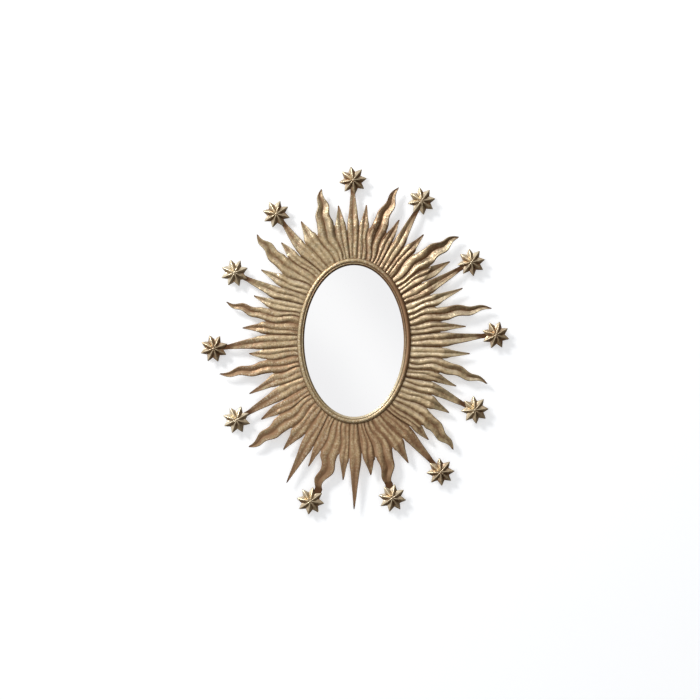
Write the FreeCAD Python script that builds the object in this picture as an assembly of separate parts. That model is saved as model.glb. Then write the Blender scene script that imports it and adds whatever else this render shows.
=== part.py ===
import FreeCAD, Part
import math
import os
from collections import namedtuple

# Ex-voto sunburst mirror: a small oval glass in a beaded rim, inside a ring of
# hammered sheet-metal rays. Millimetres, +Z up, +X to the viewer's right.
# The origin is the middle of the oval on the wall plane, and the front looks
# along -Y. A height called "out" is a distance from the wall, so it is at
# Y = -out, and a distance called "across" is measured outwards from the edge
# of the oval opening.

Vector = FreeCAD.Vector
FRONT = Vector(0, -1, 0)
BACK = Vector(0, 1, 0)
RIGHT = Vector(1, 0, 0)
UP = Vector(0, 0, 1)

# Sheet metal, and how far the pan stands off the wall and how deep it is
SHEET = 1.2
WALL_GAP = 7.0
PAN_DEPTH = 13.8

# Oval opening and its beaded rim
OPENING_HALF_WIDTH = 124.5
OPENING_HALF_HEIGHT = 189.5
RIM_WIDTH = 18.0
RIM_RISE = 5.5
RIM_LIP = 2.4

# Glass, board, and the pan and tabs that hold them
GLASS_THICKNESS = 3.0
GLASS_SETBACK = 2.0
GLASS_COVERED = 6.0
BOARD_THICKNESS = 3.0
PAN_CLEARANCE = 0.5
PAN_FLANGE = 18.0
TAB_WIDTH = 10.0
TAB_LEG = 4.5
TAB_REACH = 9.0
TAB_CLEARANCE = 0.2
TAB_TURNS = (22.5, 67.5, 112.5, 157.5, 202.5, 247.5, 292.5, 337.5)

# Flutes between the rim and the notches, and the hoop soldered behind them
RIM_FLUTE_RISE = 4.5
FLUTE_TUCK = 11.0
NOTCH_REACH = 77.0
FLUTE_WAVE = 3.0
HOOP_REACH = 38.0
HOOP_WIDTH = 8.0
HOOP_THICKNESS = 3.0

# Free rays: their reach is measured from the rim's outer edge
LONG_REACH = 200.0
SPIKE_REACH = 138.0
FLAME_REACH = 195.0
TIP_SET_BACK = 3.5
POINT_WIDTH = 2.6
FLAME_SWAY = 6.5
TONGUE_WIDTH = 11.5
FLAME_TONGUE_WIDTH = 18.0
TONGUE_MARGIN = 1.0
TONGUE_OVERRUN = 6.0

# Stars, soldered on the tongues
STAR_RADIUS = 35.0
STAR_RISE = 10.5

# Ring hangers and wall bumpers
HANGER_TURNS = (-28.0, 28.0)
STRAP_WIDTH = 12.0
STRAP_LENGTH = 14.0
RING_WIRE = 3.0
RING_RADIUS = 12.0
RING_SIDES = 4
RING_CLEARANCE = 0.1
BUMPER_WIDTH = 12.0
BUMPER_TURNS = (60.0, 125.0, 235.0, 300.0)

# Section of a ray, as shares of its width
RISE_SHARE = 0.2
FLUTE_CREST_SHARE = 0.25
EDGE_CREST_SHARE = 0.09
EDGE_RISE_SHARE = 0.55

# A flame: its width falls from a share of the notches' width, slowly and then
# fast, and its middle line leans and curls, with the outer curls closer together
FLAME_ROOT_SHARE = 0.8
FLAME_TAPER_SHARE = 0.92
FLAME_TAPER_POWER = 2.2
FLAME_LEAN_SHARE = 0.3
FLAME_CURLS = 2
CURL_CROWDING = 1.36
CURL_FADE_SHARE = 0.5

# A flame with a star stays wider, and its middle line is a bend to one side of the
# star plus waves of one, two and three half turns
STAR_FLAME_TAPER_SHARE = 0.62
STAR_FLAME_BENDS = {22: 1.9, 26: -7.8}
STAR_FLAME_WAVES = {22: (-1.1, -2.2, 2.0), 26: (-2.5, -4.6, 3.3)}

# Layout of the rays, in degrees clockwise from the top as the viewer sees it.
# Stations are shares of the way from the rim to the notch, and from the notch
# to the tip.
KINDS = ("long", "spike", "flame", "spike")
GORES = 12
RAYS = GORES * len(KINDS)
PITCH = 360.0 / RAYS
OVAL_TWIST = 4.0
REACHES = {"long": LONG_REACH, "spike": SPIKE_REACH, "flame": FLAME_REACH}
SHOULDER_SHARES = {"long": 0.92, "spike": 0.88}
FLUTE_STATION_SHARES = (0.0, 0.6, 1.0)
STRAIGHT_STATION_SHARES = (0.1, 1.0)
FLAME_STATION_SHARES = (0.15, 0.32, 0.5, 0.68, 0.84, 1.0)

# The hand in the work: one row for each gore, clockwise from the top. For each
# ray, its drift from the even layout in pitches, and its reach as a share of
# its kind's reach. A ray with a star reaches to the star's middle.
TIP_SHARES = (
    ((-0.05, 0.97), (-0.25, 0.98), (0.20, 1.02), (-0.05, 0.92)),
    ((-0.44, 0.98), (-0.30, 0.98), (0.10, 1.02), (-0.05, 1.07)),
    ((-0.40, 0.97), (-0.30, 1.09), (0.20, 1.07), (0.05, 1.01)),
    ((-0.32, 1.06), (-0.20, 1.08), (0.26, 1.04), (0.00, 0.94)),
    ((-0.15, 0.96), (-0.30, 0.99), (0.15, 1.00), (-0.20, 0.95)),
    ((-0.58, 1.04), (-0.40, 1.02), (0.10, 1.03), (-0.05, 0.96)),
    ((0.00, 1.07), (-0.35, 1.03), (0.10, 1.09), (-0.15, 0.99)),
    ((-0.50, 1.00), (-0.35, 1.02), (0.05, 1.04), (-0.10, 1.01)),
    ((-0.40, 0.97), (-0.40, 1.02), (0.15, 1.03), (0.15, 0.88)),
    ((-0.40, 1.04), (-0.15, 1.00), (0.15, 0.96), (0.05, 0.90)),
    ((-0.15, 0.94), (-0.25, 0.95), (0.15, 0.96), (-0.15, 0.92)),
    ((-0.35, 0.93), (-0.40, 0.97), (0.25, 0.95), (0.05, 0.98)),
)
# The same for the notch on each ray's clockwise side
NOTCH_SHARES = (
    ((-0.10, 1.05), (-0.35, 1.00), (0.00, 1.05), (-0.30, 0.90)),
    ((-0.35, 1.00), (-0.50, 1.05), (-0.05, 1.20), (-0.40, 0.75)),
    ((-0.25, 0.85), (-0.25, 0.90), (0.00, 1.00), (-0.20, 0.95)),
    ((0.00, 1.00), (-0.15, 1.05), (0.00, 1.00), (-0.20, 0.85)),
    ((-0.25, 1.00), (-0.25, 1.05), (-0.05, 1.20), (-0.35, 0.90)),
    ((-0.40, 1.05), (-0.45, 1.10), (-0.05, 1.15), (-0.10, 0.95)),
    ((-0.15, 1.10), (-0.40, 1.00), (0.00, 1.10), (-0.40, 1.10)),
    ((-0.40, 0.95), (-0.40, 1.10), (-0.05, 1.20), (-0.35, 0.85)),
    ((-0.20, 0.80), (-0.15, 0.85), (0.05, 1.00), (-0.15, 1.10)),
    ((0.00, 1.00), (0.00, 1.05), (0.05, 1.00), (-0.15, 0.95)),
    ((-0.10, 0.85), (-0.20, 1.00), (0.00, 1.15), (-0.25, 0.85)),
    ((-0.40, 1.05), (-0.35, 1.05), (0.10, 1.10), (-0.05, 0.90)),
)
# Rays that carry a star, counted from 0 clockwise, with the star's own turn
STAR_TURNS = {
    0: 8.0, 4: 9.5, 8: 10.0, 12: 27.5, 16: 5.5, 20: 4.0,
    22: 35.0, 26: 36.0, 32: 27.5, 36: 18.0, 40: 19.5, 44: 31.5,
}
STAR_POINTS = 8
STAR_VALLEY_SHARE = 0.64

# Rim section from the opening outwards: inner bead, groove, outer bead
RIM_FRONT_SHARES = ((0.24, 0.75), (0.35, 0.6), (0.52, 0.92), (0.7, 1.0), (0.93, 0.6))
RIM_UNDER_SHARES = ((0.3, 0.62), (0.4, 0.6), (0.78, 0.9))

# Levels and edges that follow from the sizes above
SHEET_BACK = WALL_GAP + PAN_DEPTH
FLUTE_LEVEL = SHEET_BACK + SHEET
TIP_LEVEL = FLUTE_LEVEL - TIP_SET_BACK
GLASS_FRONT = FLUTE_LEVEL - GLASS_SETBACK
GLASS_BACK = GLASS_FRONT - GLASS_THICKNESS
BOARD_BACK = GLASS_BACK - BOARD_THICKNESS
PAN_INNER = GLASS_COVERED + PAN_CLEARANCE
PAN_OUTER = PAN_INNER + SHEET
FLANGE_MIDDLE = PAN_OUTER + PAN_FLANGE / 2
RING_HOLE = RING_WIRE / 2 + RING_CLEARANCE
RING_LEVEL = WALL_GAP - SHEET - RING_HOLE

Spot = namedtuple("Spot", "turn reach")


def at(x, out, z):
    """A point from its place on the wall and its height out from the wall."""
    return Vector(x, -out, z)


def mix(start, end, share):
    """The value a share of the way from start to end."""
    return start + (end - start) * share


def oval_point(across, turn):
    """The point of the wall plane at a turn on the oval that lies a distance across."""
    angle = math.radians(turn)
    return Vector((OPENING_HALF_WIDTH + across) * math.sin(angle), 0,
                  (OPENING_HALF_HEIGHT + across) * math.cos(angle))


def even_turn(place):
    """Turn of a place in the even layout, counted in ray pitches."""
    turn = PITCH * place
    return turn + OVAL_TWIST * math.sin(2 * math.radians(turn))


def notch_spot(ray):
    """The notch on the clockwise side of a ray."""
    gore, place = divmod(ray % RAYS, len(KINDS))
    drift, share = NOTCH_SHARES[gore][place]
    return Spot(even_turn(ray + 0.5 + drift), NOTCH_REACH * share)


def tip_point(ray):
    """The end of a ray: its tip, or the middle of the star that it carries."""
    gore, place = divmod(ray, len(KINDS))
    drift, share = TIP_SHARES[gore][place]
    return oval_point(RIM_WIDTH + REACHES[KINDS[place]] * share, even_turn(ray + drift))


def valley_point(ray, share):
    """A point of the valley on a ray's clockwise side, from under the rim to the notch.

    Valleys beside a flame wave as the flame does.
    """
    notch = notch_spot(ray)
    turn = mix(PITCH * (ray + 0.5), notch.turn, share)
    point = oval_point(RIM_WIDTH + mix(-FLUTE_TUCK, notch.reach, share), turn)
    if "flame" not in (KINDS[ray % len(KINDS)], KINDS[(ray + 1) % len(KINDS)]):
        return point
    sideways = BACK.cross(oval_point(RIM_WIDTH, turn)).normalize()
    return point + sideways * FLUTE_WAVE * math.sin(2 * math.pi * share)


def section(left, right, level, rise, crest_share, edge_rise):
    """Corners of a ray's section: its front from left to right, then its back.

    The front is an M, with a crest near each edge and a crease between them.
    """
    shares = (0, crest_share, 0.5, 1 - crest_share, 1)
    rises = (edge_rise, rise, 0, rise, edge_rise)
    front = [mix(left, right, share) + FRONT * (level + up) for share, up in zip(shares, rises)]
    return front + [corner + BACK * SHEET for corner in reversed(front)]


def fluted_sections(ray):
    """Sections of a ray from under the rim to its notches."""
    sections = []
    for share in FLUTE_STATION_SHARES:
        left = valley_point(ray - 1, share)
        right = valley_point(ray, share)
        rise = mix(RIM_FLUTE_RISE, RISE_SHARE * (right - left).Length, share)
        sections.append(section(left, right, FLUTE_LEVEL, rise, FLUTE_CREST_SHARE, 0))
    return sections


def flame_width_share(ray, along):
    """Width of a flame, as a share of its width at the notches."""
    taper = STAR_FLAME_TAPER_SHARE if ray in STAR_TURNS else FLAME_TAPER_SHARE
    return FLAME_ROOT_SHARE * (1 - taper * along ** FLAME_TAPER_POWER)


def flame_sway(ray, along):
    """Sideways sway of a flame's middle line.

    A plain flame has a lean, and curls that grow smaller. One with a star has a
    bend and waves of its own.
    """
    if ray in STAR_TURNS:
        waves = sum(height * math.sin(math.pi * half_turns * along)
                    for half_turns, height in enumerate(STAR_FLAME_WAVES[ray], start=1))
        return STAR_FLAME_BENDS[ray] * along + waves
    curl = math.sin(math.pi * FLAME_CURLS * along ** CURL_CROWDING) ** 2
    lean = FLAME_LEAN_SHARE * math.sin(math.pi * along)
    return FLAME_SWAY * (lean - curl * (1 - CURL_FADE_SHARE * along))


def free_sections(ray):
    """Sections of a ray beyond its notches, with a flat tongue where it holds a star."""
    kind = KINDS[ray % len(KINDS)]
    has_star = ray in STAR_TURNS
    left, right = valley_point(ray - 1, 1), valley_point(ray, 1)
    notch_width = (right - left).Length
    root = (left + right) * 0.5
    tip = tip_point(ray)
    outward = (tip - root).normalize()
    side = BACK.cross(outward)
    length = (tip - root).Length - (STAR_RADIUS + TONGUE_MARGIN if has_star else 0)
    tongue_width = FLAME_TONGUE_WIDTH if kind == "flame" else TONGUE_WIDTH
    end_width = tongue_width if has_star else POINT_WIDTH
    sections = []
    for share in FLAME_STATION_SHARES if kind == "flame" else STRAIGHT_STATION_SHARES:
        if kind == "flame":
            width = max(notch_width * flame_width_share(ray, share), end_width)
            place = root + outward * (length * share) + side * flame_sway(ray, share)
        else:
            width = mix(notch_width * SHOULDER_SHARES[kind], end_width, share)
            place = root + outward * (length * share)
        rise = 0 if has_star and share == 1 else RISE_SHARE * width
        half = side * (width / 2)
        sections.append(section(place - half, place + half, mix(FLUTE_LEVEL, TIP_LEVEL, share),
                                rise, EDGE_CREST_SHARE, rise * EDGE_RISE_SHARE))
    if has_star:
        end = tip + outward * TONGUE_OVERRUN
        half = side * (end_width / 2)
        sections.append(section(end - half, end + half, TIP_LEVEL, 0, EDGE_CREST_SHARE, 0))
    return sections


def polygon_face(corners):
    """A flat face through corners that lie in one plane."""
    return Part.Face(Part.makePolygon(corners + corners[:1]))


def facet_faces(near, far):
    """The strip between two matching edges: two flat triangles."""
    return [polygon_face([near[0], near[1], far[1]]), polygon_face([near[0], far[1], far[0]])]


def closed_solid(faces):
    """The solid that the faces close."""
    sewn = Part.Compound(faces)
    sewn.sewShape()
    solid = Part.Solid(sewn.Shells[0])
    if solid.Volume < 0:
        solid.reverse()
    return solid


def gore_solid(gore):
    """A gore: one long ray, one flame and two spikes, hammered from one piece of sheet."""
    faces = []
    for place in range(len(KINDS)):
        ray = gore * len(KINDS) + place
        fluted = fluted_sections(ray)
        sections = fluted + free_sections(ray)
        corners = len(fluted[0])
        walls = {corners // 2 - 1: place + 1 < len(KINDS), corners - 1: place > 0}
        for number, (near, far) in enumerate(zip(sections, sections[1:])):
            in_flutes = number + 1 < len(fluted)
            for edge in range(corners):
                following = (edge + 1) % corners
                if not (in_flutes and walls.get(edge)):
                    faces += facet_faces((near[edge], near[following]), (far[edge], far[following]))
        faces += [polygon_face(sections[0]), polygon_face(sections[-1])]
    return closed_solid(faces)


def oval_wire(across, out):
    """The oval that lies a distance across, at a height out."""
    oval = Part.Ellipse(at(0, out, OPENING_HALF_HEIGHT + across),
                        at(OPENING_HALF_WIDTH + across, out, 0), at(0, out, 0))
    return Part.Wire(oval.toShape())


def oval_plate(across, back, front):
    """A flat oval plate between two heights."""
    return Part.Face(oval_wire(across, back)).extrude(FRONT * (front - back))


def oval_ring(profile):
    """An oval ring whose closed section is a list of (across, out) corners."""
    faces = []
    for (across, out), (last_across, last_out) in zip(profile, profile[-1:] + profile[:-1]):
        wires = [oval_wire(across, out), oval_wire(last_across, last_out)]
        if out == last_out:
            faces.append(Part.makeFace(wires, "Part::FaceMakerBullseye"))
        else:
            faces += Part.makeLoft(wires, False, True).Faces
    return closed_solid(faces)


def rim_seat():
    """The height of the highest flute crest under the rim's outer edge."""
    heights = []
    for ray in range(RAYS):
        under, over = fluted_sections(ray)[:2]
        reach = min(notch_spot(ray - 1).reach, notch_spot(ray).reach)
        share = FLUTE_TUCK / (FLUTE_STATION_SHARES[1] * (FLUTE_TUCK + reach))
        heights.append(-mix(under[1], over[1], share).y)
    return max(heights)


def rim():
    """The beaded moulding: its lip lies on the glass and its hem on the flutes."""
    seat = rim_seat()
    front = [(RIM_WIDTH * share, seat + RIM_RISE * rise) for share, rise in RIM_FRONT_SHARES]
    under = [(RIM_WIDTH * share, seat + RIM_RISE * rise - SHEET) for share, rise in RIM_UNDER_SHARES]
    lip = [(RIM_LIP + SHEET, GLASS_FRONT), (0, GLASS_FRONT),
           (0, GLASS_FRONT + SHEET), (RIM_LIP, GLASS_FRONT + SHEET)]
    hem = [(RIM_WIDTH, seat), (RIM_WIDTH - SHEET, seat)]
    return oval_ring(lip + front + hem + under[::-1])


def pan():
    """The flanged band behind the rim: it carries the gores, the glass and the bumpers."""
    return oval_ring([
        (PAN_INNER, WALL_GAP), (PAN_OUTER + PAN_FLANGE, WALL_GAP),
        (PAN_OUTER + PAN_FLANGE, WALL_GAP + SHEET), (PAN_OUTER, WALL_GAP + SHEET),
        (PAN_OUTER, SHEET_BACK), (PAN_INNER, SHEET_BACK),
    ])


def hoop():
    """The flat hoop that joins the gores behind the middle of their flutes."""
    inner = RIM_WIDTH + HOOP_REACH
    return oval_ring([
        (inner, SHEET_BACK - HOOP_THICKNESS), (inner + HOOP_WIDTH, SHEET_BACK - HOOP_THICKNESS),
        (inner + HOOP_WIDTH, SHEET_BACK), (inner, SHEET_BACK),
    ])


def tab(turn):
    """A bent tab: its leg stands on the pan's wall and its foot holds the board."""
    wall = oval_point(PAN_INNER, turn)
    inward = Vector(-wall.x / (OPENING_HALF_WIDTH + PAN_INNER) ** 2, 0,
                    -wall.z / (OPENING_HALF_HEIGHT + PAN_INNER) ** 2).normalize()
    along = FRONT.cross(inward)
    start = wall + inward * TAB_CLEARANCE - along * (TAB_WIDTH / 2)
    corners = [(0, BOARD_BACK), (TAB_REACH, BOARD_BACK), (TAB_REACH, BOARD_BACK - SHEET),
               (SHEET, BOARD_BACK - SHEET), (SHEET, BOARD_BACK - TAB_LEG), (0, BOARD_BACK - TAB_LEG)]
    outline = [start + inward * depth + FRONT * out for depth, out in corners]
    return polygon_face(outline).extrude(along * TAB_WIDTH)


def star_outline(radius, turn, centre, out):
    """The star's outline: its points and the valleys between them."""
    corners = []
    for corner in range(2 * STAR_POINTS):
        angle = math.radians(turn + 180 * corner / STAR_POINTS)
        length = radius * (STAR_VALLEY_SHARE if corner % 2 else 1)
        corners.append(centre + Vector(math.cos(angle), 0, math.sin(angle)) * length + FRONT * out)
    return corners


def star(ray):
    """A hollow star raised from sheet: a ridge runs along each point to the peak."""
    centre, turn = tip_point(ray), STAR_TURNS[ray]
    hollow_share = 1 - SHEET / STAR_RISE
    edge = star_outline(STAR_RADIUS, turn, centre, TIP_LEVEL)
    hollow_edge = star_outline(STAR_RADIUS * hollow_share, turn, centre, TIP_LEVEL)
    peak = centre + FRONT * (TIP_LEVEL + STAR_RISE)
    hollow_peak = peak + BACK * SHEET
    faces = []
    for corner in range(len(edge)):
        faces.append(polygon_face([edge[corner - 1], edge[corner], peak]))
        faces.append(polygon_face([hollow_edge[corner - 1], hollow_edge[corner], hollow_peak]))
        faces.append(polygon_face([edge[corner - 1], edge[corner],
                                   hollow_edge[corner], hollow_edge[corner - 1]]))
    return closed_solid(faces)


def hanger_place(turn):
    """The middle of a hanger's strap on the pan's flange."""
    return oval_point(FLANGE_MIDDLE, turn)


def ring_axis_point(turn):
    """The middle of the bar that a hanger's ring turns on."""
    return hanger_place(turn) - UP * (STRAP_LENGTH / 2) + FRONT * RING_LEVEL


def strap(turn):
    """A strap soldered on the flange, with its lower end curled round the ring's bar."""
    axis = ring_axis_point(turn) - RIGHT * (STRAP_WIDTH / 2)
    curl = Part.makeCylinder(RING_HOLE + SHEET, STRAP_WIDTH, axis, RIGHT)
    plate = Part.makeBox(STRAP_WIDTH, SHEET, STRAP_LENGTH, axis + FRONT * (RING_HOLE + SHEET))
    eye = Part.makeCylinder(RING_HOLE, STRAP_WIDTH, axis, RIGHT)
    return curl.fuse(plate).cut(eye)


def hanger_ring(turn):
    """A D-ring of bent wire that hangs from its straight bar."""
    middle = ring_axis_point(turn)
    corners = []
    for side in range(RING_SIDES + 1):
        angle = math.pi * side / RING_SIDES
        corners.append(middle + RIGHT * (RING_RADIUS * math.cos(angle))
                       - UP * (RING_RADIUS * math.sin(angle)))
    path = Part.makePolygon([middle] + corners + [middle])
    wire = Part.Wire(Part.makeCircle(RING_WIRE / 2, middle, RIGHT))
    return path.makePipeShell([wire], True, False, 1)


def bumper(turn):
    """A square rubber bumper between the pan's flange and the wall."""
    corner = oval_point(FLANGE_MIDDLE, turn) - (RIGHT + UP) * (BUMPER_WIDTH / 2)
    return Part.makeBox(BUMPER_WIDTH, WALL_GAP, BUMPER_WIDTH, corner + FRONT * WALL_GAP)


def build():
    """Every sub-part by its name."""
    parts = {f"gore_{gore + 1:02d}": gore_solid(gore) for gore in range(GORES)}
    parts.update({f"star_{number + 1:02d}": star(ray) for number, ray in enumerate(STAR_TURNS)})
    parts["rim"] = rim()
    parts["mirror_glass"] = oval_plate(GLASS_COVERED, GLASS_BACK, GLASS_FRONT)
    parts["backing_board"] = oval_plate(GLASS_COVERED, BOARD_BACK, GLASS_BACK)
    parts["board_tabs"] = Part.Compound([tab(turn) for turn in TAB_TURNS])
    parts["pan"] = pan()
    parts["rear_hoop"] = hoop()
    parts["hanger_straps"] = Part.Compound([strap(turn) for turn in HANGER_TURNS])
    for side, turn in zip(("left", "right"), HANGER_TURNS):
        parts[f"hanger_ring_{side}"] = hanger_ring(turn)
    parts["wall_bumpers"] = Part.Compound([bumper(turn) for turn in BUMPER_TURNS])
    return parts


def main():
    os.makedirs("parts", exist_ok=True)
    for name, shape in build().items():
        shape.exportStep(f"parts/{name}.step")
        print(name, len(shape.Solids), shape.isValid(), round(shape.Volume))


main()
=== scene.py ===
import logging
import math
from dataclasses import dataclass, field
from enum import Enum

import bpy
import numpy as np
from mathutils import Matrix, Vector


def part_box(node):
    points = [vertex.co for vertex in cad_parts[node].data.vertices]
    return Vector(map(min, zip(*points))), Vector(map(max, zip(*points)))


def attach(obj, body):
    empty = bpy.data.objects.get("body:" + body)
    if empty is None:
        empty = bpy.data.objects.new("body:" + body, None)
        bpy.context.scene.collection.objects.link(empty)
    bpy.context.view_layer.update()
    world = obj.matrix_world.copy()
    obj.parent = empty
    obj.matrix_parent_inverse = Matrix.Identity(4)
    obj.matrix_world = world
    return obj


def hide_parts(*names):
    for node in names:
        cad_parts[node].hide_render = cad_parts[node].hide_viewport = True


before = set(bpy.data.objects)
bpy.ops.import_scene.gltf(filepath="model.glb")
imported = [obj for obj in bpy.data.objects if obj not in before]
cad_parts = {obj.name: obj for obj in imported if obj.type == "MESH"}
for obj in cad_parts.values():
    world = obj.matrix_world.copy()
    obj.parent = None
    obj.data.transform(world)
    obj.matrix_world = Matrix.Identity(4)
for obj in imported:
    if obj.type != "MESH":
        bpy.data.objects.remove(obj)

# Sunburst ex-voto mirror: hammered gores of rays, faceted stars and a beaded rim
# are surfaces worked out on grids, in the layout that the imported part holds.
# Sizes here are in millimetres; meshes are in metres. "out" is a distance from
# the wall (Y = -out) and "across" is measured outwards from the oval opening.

LOG = logging.getLogger("sunburst_mirror")
METRES = 0.001
FIXED_BODY = "mirror"
Numbers = float | np.ndarray


class RayKind(Enum):
    """The three kinds of ray: reach, notch cut, crease height and depth of the free channel."""

    LONG = (200.0, 0.03, 0.45, 0.10)
    SPIKE = (138.0, 0.03, 0.40, 0.08)
    FLAME = (195.0, 0.05, 0.10, 0.20)

    def __init__(self, reach: float, cut: float, crease: float, channel: float) -> None:
        """Names the kind's values.

        Args:
            reach: Reach beyond the rim's outer edge.
            cut: Share of the ray's width that its notch cuts away on each side.
            crease: Height left at the crease between a fluted ray's two crests, from 0 to 1.
            channel: Depth of the free ray's channel, as a share of its width.
        """
        self.reach = reach
        self.cut = cut
        self.crease = crease
        self.channel = channel


KINDS = (RayKind.LONG, RayKind.SPIKE, RayKind.FLAME, RayKind.SPIKE)
GORES = 12
RAYS = GORES * len(KINDS)

# Hand-made drift of every ray: (drift in pitches, reach share), a row for each gore
TIP_SHARES = (
    ((-0.05, 0.97), (-0.25, 0.98), (0.20, 1.02), (-0.05, 0.92)),
    ((-0.44, 0.98), (-0.30, 0.98), (0.10, 1.02), (-0.05, 1.07)),
    ((-0.40, 0.97), (-0.30, 1.09), (0.20, 1.07), (0.05, 1.01)),
    ((-0.32, 1.06), (-0.20, 1.08), (0.26, 1.04), (0.00, 0.94)),
    ((-0.15, 0.96), (-0.30, 0.99), (0.15, 1.00), (-0.20, 0.95)),
    ((-0.58, 1.04), (-0.40, 1.02), (0.10, 1.03), (-0.05, 0.96)),
    ((0.00, 1.07), (-0.35, 1.03), (0.10, 1.09), (-0.15, 0.99)),
    ((-0.50, 1.00), (-0.35, 1.02), (0.05, 1.04), (-0.10, 1.01)),
    ((-0.40, 0.97), (-0.40, 1.02), (0.15, 1.03), (0.15, 0.88)),
    ((-0.40, 1.04), (-0.15, 1.00), (0.15, 0.96), (0.05, 0.90)),
    ((-0.15, 0.94), (-0.25, 0.95), (0.15, 0.96), (-0.15, 0.92)),
    ((-0.35, 0.93), (-0.40, 0.97), (0.25, 0.95), (0.05, 0.98)),
)
NOTCH_SHARES = (
    ((-0.10, 1.05), (-0.35, 1.00), (0.00, 1.05), (-0.30, 0.90)),
    ((-0.35, 1.00), (-0.50, 1.05), (-0.05, 1.20), (-0.40, 0.75)),
    ((-0.25, 0.85), (-0.25, 0.90), (0.00, 1.00), (-0.20, 0.95)),
    ((0.00, 1.00), (-0.15, 1.05), (0.00, 1.00), (-0.20, 0.85)),
    ((-0.25, 1.00), (-0.25, 1.05), (-0.05, 1.20), (-0.35, 0.90)),
    ((-0.40, 1.05), (-0.45, 1.10), (-0.05, 1.15), (-0.10, 0.95)),
    ((-0.15, 1.10), (-0.40, 1.00), (0.00, 1.10), (-0.40, 1.10)),
    ((-0.40, 0.95), (-0.40, 1.10), (-0.05, 1.20), (-0.35, 0.85)),
    ((-0.20, 0.80), (-0.15, 0.85), (0.05, 1.00), (-0.15, 1.10)),
    ((0.00, 1.00), (0.00, 1.05), (0.05, 1.00), (-0.15, 0.95)),
    ((-0.10, 0.85), (-0.20, 1.00), (0.00, 1.15), (-0.25, 0.85)),
    ((-0.40, 1.05), (-0.35, 1.05), (0.10, 1.10), (-0.05, 0.90)),
)
# Rays that carry a star, with the star's own turn in degrees
STAR_TURNS = {
    0: 8.0, 4: 9.5, 8: 10.0, 12: 27.5, 16: 5.5, 20: 4.0,
    22: 35.0, 26: 36.0, 32: 27.5, 36: 18.0, 40: 19.5, 44: 31.5,
}
# Middle lines of the flames with a star: a bend, then the heights of their waves
STAR_FLAME_WAVES = {22: (1.9, -1.1, -2.2, 2.0), 26: (-7.8, -2.5, -4.6, 3.3)}

# The next five tables go by these turns round the oval, in degrees from the top
TABLE_TURNS = (0.0, 25.0, 60.0, 120.0, 160.0, 200.0, 240.0, 270.0, 300.0, 335.0, 360.0)
# How boldly the hand has raised the flutes, which also sets the strength of their painted highlight
# and shade, and how sharply it has folded the free rays
BOLDNESS = (0.52, 0.8, 1.0, 1.0, 0.5, 0.2, 0.28, 0.55, 0.85, 0.75, 0.52)
SHARPNESS = (0.3, 0.75, 1.0, 0.6, 0.35, 0.12, 0.25, 0.45, 0.4, 0.35, 0.3)
# How pale the gilding is at each turn, and how red its patina is
PALENESS = (0.06, -0.3, 0.62, 1.05, 0.2, 0.12, 0.24, 0.45, 0.85, 0.8, 0.08)
WARMTH = (0.08, 0.3, 0.5, 0.6, 0.9, 0.6, 0.5, 0.5, 0.52, 0.42, 0.08)
# How much paler or duller the free rays are than the flutes
FREE_SHIFT = (-0.2, 0.0, 0.0, 0.3, 0.0, -0.15, -0.3, -0.35, -0.2, -0.25, -0.2)
# How dull the stars are, by turns of their own; below nothing they are paler, with a stronger
# painted highlight and shade
DULL_TURNS = (0.0, 30.0, 56.0, 85.0, 115.0, 140.0, 165.0, 195.0,
              238.0, 270.0, 303.0, 330.0, 360.0)
DULLNESS = (0.1, 0.1, -0.9, 0.4, 0.8, 0.8, -0.9, 0.7, -0.9, 0.2, -1.0, 0.1, 0.1)

# Where the random draws of the gores and the stars start
GORE_DRAWS = 310
STAR_DRAWS = 900
FULL_TURN = 360.0
# The hanger rings' bars, out from the middle plane, from the wall and up
HANGER_BAR = (66.29, -4.2, 175.06)
BUMPER_TURNS = (60.0, 125.0, 235.0, 300.0)
BUMPER_ACROSS = 16.7

WHITE = (1.0, 1.0, 1.0, 1.0)
OLIVE = (0.33, 0.285, 0.17, 1.0)
RUDDY = (0.29, 0.155, 0.085, 1.0)
# CREAM is the colour of worn flakes and of the painted highlight
CREAM = (0.72, 0.63, 0.47, 1.0)


def smooth(value: np.ndarray, low: float, high: float) -> np.ndarray:
    """Smoothstep: 3x^2 - 2x^3 of the value's clipped share of the way from low to high."""
    share = np.clip((value - low) / (high - low), 0.0, 1.0)
    return share * share * (3.0 - 2.0 * share)


def mix(start: Numbers, end: Numbers, share: Numbers) -> Numbers:
    """The value a share of the way from start to end."""
    return start + (end - start) * share


def by_turn(turn: float, table: tuple, turns: tuple = TABLE_TURNS) -> float:
    """A table's value at a turn round the oval."""
    return np.interp(turn % FULL_TURN, turns, table)


def grid_quads(index: np.ndarray) -> np.ndarray:
    """Quads between the neighbours of a grid of vertex numbers.

    Args:
        index: Vertex numbers, one row after another.

    Returns:
        One row of four vertex numbers for each quad.
    """
    return np.stack(
        [index[:-1, :-1], index[:-1, 1:], index[1:, 1:], index[1:, :-1]], axis=-1
    ).reshape(-1, 4)


def ring_quads(index: np.ndarray) -> np.ndarray:
    """Quads of a grid whose last column joins its first."""
    return grid_quads(np.concatenate([index, index[:, :1]], axis=1))


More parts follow.
